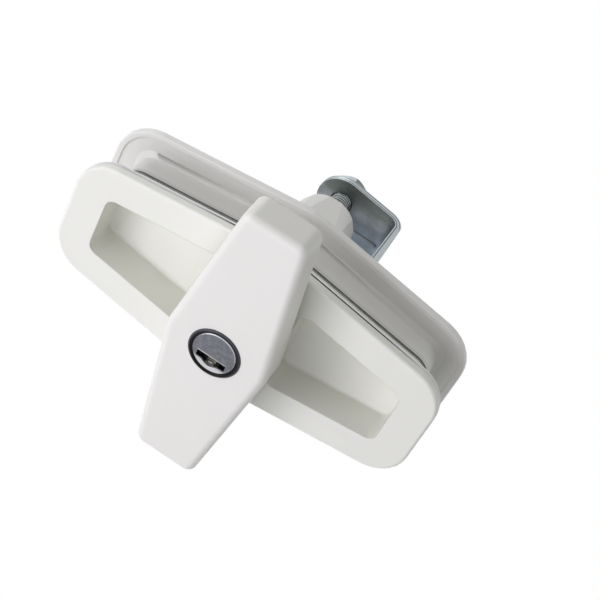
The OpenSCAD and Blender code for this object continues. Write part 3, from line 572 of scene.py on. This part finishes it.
class StageSettings(bpy.types.PropertyGroup):
    azimuth: FloatProperty(
        name="Azimuth", description="Camera's turn about the vertical, in degrees", default=5.783)
    elevation: FloatProperty(
        name="Elevation", description="Camera's height, in degrees", default=41.888)
    roll: FloatProperty(
        name="Roll", description="Camera's turn about its own axis, in degrees", default=30.148)
    lens: FloatProperty(
        name="Lens", description="Focal length in millimetres", default=94.28, min=20, max=300,
        unit="CAMERA")
    eye: FloatVectorProperty(
        name="Eye", description="Camera's place", default=(0.0617, -0.4559, 0.4329), unit="LENGTH")
    ambient: FloatProperty(
        name="Ambient", description="Strength of the surrounding light", default=0.05)


class TwistLockSettings(bpy.types.PropertyGroup):
    plates: PointerProperty(type=PlateSettings)
    handle: PointerProperty(type=HandleSettings)
    spindle: PointerProperty(type=SpindleSettings)
    stage: PointerProperty(type=StageSettings)


class OBJECT_OT_lock_plates(bpy.types.Operator):
    """Finishes the two plates, the gasket between flange and door, and the nylon pieces"""
    bl_idname = "object.lock_plates"
    bl_label = "Plates and gasket"

    def execute(self, context):
        s = context.scene.twist_lock.plates
        # Millimetres along Y: the outer plate from its face to its body's end, the painted shade
        # at the end of the body's walls, the gap to the collar, and the painted shade at the start
        # of the collar's walls with the length over which it fades.
        body_length = 19.7
        body_end_shade = 0.3
        collar_gap = 0.6
        collar_start_shade = 0.75
        collar_shade = 2.5
        body_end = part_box("front_plate")[0].y + body_length * MM
        dress(["front_plate"], new_material(
            "outer_plate_abs_moulded", moulded, s.colour, "#E6E6DD", grain=0.5, roughness=0.36,
            edge=s.edge, joint=(body_end, body_end - body_end_shade * MM, 0.0)))
        collar = body_end + collar_gap * MM
        dress(["rear_plate"], new_material(
            "inner_plate_abs_moulded", moulded, s.inner, "#E6E5E0", grain=0.5, roughness=0.36,
            edge=s.root, joint=(collar, collar + collar_start_shade * MM, collar_shade * MM)))
        dress(["front_gasket"], new_material(
            "gasket_foam_cut", foam, "#F3F3F2", "#111111", flange=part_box("front_gasket")[0].y))
        dress(["thrust_washer", "spindle_bush"], new_material(
            "bearing_nylon_moulded", moulded, "#E9E2CF", "#E4DCC7", grain=0.6, roughness=0.42,
            edge=0.2))
        return {"FINISHED"}


class OBJECT_OT_lock_handle(bpy.types.Operator):
    """Finishes the handle's shell and its back cover"""
    bl_idname = "object.lock_handle"
    bl_label = "Handle"

    def execute(self, context):
        s = context.scene.twist_lock.handle
        dress(["handle_shell", "handle_back"], new_material(
            "handle_abs_moulded", moulded, s.colour, "#E5E4DD", grain=0.4, roughness=0.42,
            edge=s.edge))
        return {"FINISHED"}


class OBJECT_OT_lock_keyway(bpy.types.Operator):
    """Finishes the key lock: black head, plated plug, wafers, cam, thin nut and the cast hub"""
    bl_idname = "object.lock_keyway"
    bl_label = "Key lock"

    def execute(self, context):
        dress(["lock_housing"], new_material(
            "lock_head_black_satin_paint", painted, "#060607", "#45454B", bevel_r=10.75,
            roughness=0.34, edge=0.2))
        # The plug's third tone serves the turned rim's polish and the painted highlights; the
        # fourth is the painted shade in the slot.
        dress(["lock_plug"], new_material(
            "plug_zinc_nickel_plated", turned_face, "#7C7E84", "#65676D", "#D6D6D9", "#303437",
            rim_r=9.15, slot=(6.6, -5.65, -2.45), face_y=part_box("lock_plug")[0].y, edge=0.2))
        # The wafers' tones are darkened as painted shade, for they sit deep in the slot.
        dress(["plug_wafers"], new_material(
            "wafers_nickel_silver_stamped", plated, "#8F8C80", "#4E4B43", roughness=0.2,
            spread=0.04, streak=0.4, edge=0.08))
        dress(["lock_cam", "lock_nut", "handle_hub"], new_material(
            "inner_zinc_die_cast", plated, "#A9ABAE", "#9C9EA2", roughness=0.45, spread=0.05,
            streak=0.5, edge=0.2))
        return {"FINISHED"}


class OBJECT_OT_lock_spindle(bpy.types.Operator):
    """Builds the spindle with its real thread and flats, in place of the plain one"""
    bl_idname = "object.lock_spindle"
    bl_label = "Threaded spindle"

    def execute(self, context):
        s = context.scene.twist_lock.spindle
        # Every length here is in millimetres until new_piece gets the points.
        low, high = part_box("spindle")
        radius = (high.x - low.x) / 2 / MM
        start = low.y / MM
        tip = high.y / MM
        thread_start = tip - s.thread
        arm_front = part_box("hook")[1].y / MM - HOOK_SHEET
        tip_chamfer = 1.0
        flank, crest_land = 1.3, 0.15
        first_ring, last_plain = 0.4, 0.01
        rings_per_turn = 9

        def radius_at(y, turn):
            r = radius
            if y > thread_start:
                phase = ((y / s.pitch) - turn / (2 * math.pi)) % 1.0
                ridge = 1 - abs(2 * phase - 1)
                fade = min(1.0, (y - thread_start) / s.pitch)
                r -= s.depth * fade * min(1.0, max(0.0, ridge * flank - crest_land))
            r = min(r, radius - max(0.0, y - (tip - tip_chamfer)))
            across = abs(math.sin(turn - HUNG))
            if y > arm_front and r * across > s.flats / 2:
                r = s.flats / 2 / across
            return r

        rings = [start, start + first_ring, thread_start - last_plain]
        steps = int(s.thread / (s.pitch / rings_per_turn))
        rings += [thread_start + s.thread * k / steps for k in range(steps + 1)]
        verts, faces = lathe(rings, s.sides, radius_at)
        # The second tone is the painted shade in the thread's roots.
        steel = new_material(
            "spindle_steel_zinc_plated", threaded, "#A2A9A8", "#1D2022", crest_r=radius,
            root_r=radius - s.depth, roughness=0.34, flat=s.flats / 2, flats_from=arm_front,
            end=tip)
        piece = new_piece(
            "spindle_threaded", [Vector(v) * MM for v in verts], faces, steel, "handle")
        for face in piece.data.polygons[:-2]:
            face.use_smooth = len(face.vertices) == 4
        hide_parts("spindle")
        return {"FINISHED"}


class OBJECT_OT_lock_hook(bpy.types.Operator):
    """Finishes the pressed hook, its nut and washer, and the other steel pieces"""
    bl_idname = "object.lock_hook"
    bl_label = "Hook and fasteners"

    def execute(self, context):
        # The arm's back along Y, the leg's outer face across it, and their bend's outer radius.
        arm_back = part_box("hook")[1].y
        leg_face = 29 * MM
        outer_bend = 7 * MM
        dress(["hook"], new_material(
            "hook_steel_zinc_plated", pressed, "#BBC2CC", "#818786", sheared="#A4AAAD",
            fracture="#3C4246", fold="#62676C", edge=0.4,
            strip=(leg_face - outer_bend, arm_back - outer_bend, outer_bend - HOOK_SHEET * MM)))
        dress(["stop_plate", "lock_bolt"], new_material(
            "stamped_steel_zinc_plated", plated, "#A4ADB0", "#939D9F", roughness=0.4, spread=0.06,
            streak=0.6, edge=0.3))
        dress(["plate_screws", "hub_screws", "cam_screw"], new_material(
            "fasteners_steel_zinc_plated", plated, "#B4BABD", "#A4ACAF", roughness=0.3,
            spread=0.05, streak=0.4, edge=0.25))
        # The nut and washer take a darker copy of the zinc plating's tones, as painted shade.
        dress(["hook_nut", "spring_washer"], new_material(
            "nut_steel_zinc_plated", plated, "#858B8E", "#474D50", roughness=0.28, spread=0.05,
            streak=0.4, edge=0.25))
        dress(["hub_circlip", "spindle_pin"], new_material(
            "spring_steel_phosphated", plated, "#4A4A4C", "#3E3F42", roughness=0.5, spread=0.06,
            streak=0.4, edge=0.15))
        return {"FINISHED"}


class OBJECT_OT_lock_stage(bpy.types.Operator):
    """Sets the pale floor, the white surroundings, the soft lamps and the camera"""
    bl_idname = "object.lock_stage"
    bl_label = "Stage"

    def execute(self, context):
        s = context.scene.twist_lock.stage
        context.scene.view_settings.view_transform = "Standard"
        self.floor(context.scene)
        self.surroundings(context.scene, s.ambient)
        for lamp in LAMPS:
            softbox(*lamp)
        self.camera(context.scene, s)
        return {"FINISHED"}

    def floor(self, scene):
        """A pale floor, well below the lock."""
        corners = [(x * FLOOR_HALF, y * FLOOR_HALF, FLOOR_HEIGHT)
                   for x, y in ((-1, -1), (1, -1), (1, 1), (-1, 1))]
        mesh = bpy.data.meshes.new("floor_paper")
        mesh.from_pydata(corners, [], [(0, 1, 2, 3)])
        mesh.materials.append(new_material("floor_paper_white", paper))
        floor = bpy.data.objects.new("floor_paper", mesh)
        scene.collection.objects.link(floor)

    def surroundings(self, scene, strength):
        """A dim cool light all round, which the eye and gloss see as white."""
        world = bpy.data.worlds.new("studio_white")
        scene.world = world
        world.use_nodes = True
        tree = world.node_tree
        tree.nodes.clear()
        soft = add_node(tree, "ShaderNodeBackground", inputs={
            "Color": linear("#F4F7FB"), "Strength": strength})
        white = add_node(tree, "ShaderNodeBackground", inputs={
            "Color": linear("#FFFFFF"), "Strength": 1.0})
        mix = add_node(tree, "ShaderNodeMixShader", inputs={
            0: seen_by_eye_or_gloss(tree), 1: soft.outputs[0], 2: white.outputs[0]})
        add_node(tree, "ShaderNodeOutputWorld", inputs={"Surface": mix.outputs[0]})

    def camera(self, scene, s):
        """The camera at the photograph's angle."""
        azimuth, elevation, roll = (math.radians(a) for a in (s.azimuth, s.elevation, s.roll))
        data = bpy.data.cameras.new("photo_camera")
        data.lens = s.lens
        data.sensor_width = SENSOR_WIDTH
        camera = bpy.data.objects.new("photo_camera", data)
        scene.collection.objects.link(camera)
        turn = Matrix.Rotation(azimuth, 4, "Z") @ Matrix.Rotation(math.pi / 2 - elevation, 4, "X")
        camera.matrix_world = Matrix.Translation(s.eye) @ turn @ Matrix.Rotation(roll, 4, "Z")
        scene.camera = camera


OPERATORS = (
    OBJECT_OT_lock_plates,
    OBJECT_OT_lock_handle,
    OBJECT_OT_lock_keyway,
    OBJECT_OT_lock_spindle,
    OBJECT_OT_lock_hook,
    OBJECT_OT_lock_stage,
)


class VIEW3D_PT_twist_lock(bpy.types.Panel):
    """Lists the steps that dress the lock"""
    bl_label = "Twist lock"
    bl_idname = "VIEW3D_PT_twist_lock"
    bl_space_type = "VIEW_3D"
    bl_region_type = "UI"
    bl_category = "Twist lock"

    def draw(self, context):
        for operator in OPERATORS:
            self.layout.operator(operator.bl_idname)


CLASSES = (PlateSettings, HandleSettings, SpindleSettings, StageSettings, TwistLockSettings,
           *OPERATORS, VIEW3D_PT_twist_lock)


def register():
    for cls in CLASSES:
        bpy.utils.register_class(cls)
    bpy.types.Scene.twist_lock = PointerProperty(type=TwistLockSettings)


def unregister():
    del bpy.types.Scene.twist_lock
    for cls in reversed(CLASSES):
        bpy.utils.unregister_class(cls)


def main():
    register()
    bpy.ops.object.lock_plates()
    bpy.ops.object.lock_handle()
    bpy.ops.object.lock_keyway()
    bpy.ops.object.lock_spindle()
    bpy.ops.object.lock_hook()
    bpy.ops.object.lock_stage()


if __name__ == "__main__":
    main()
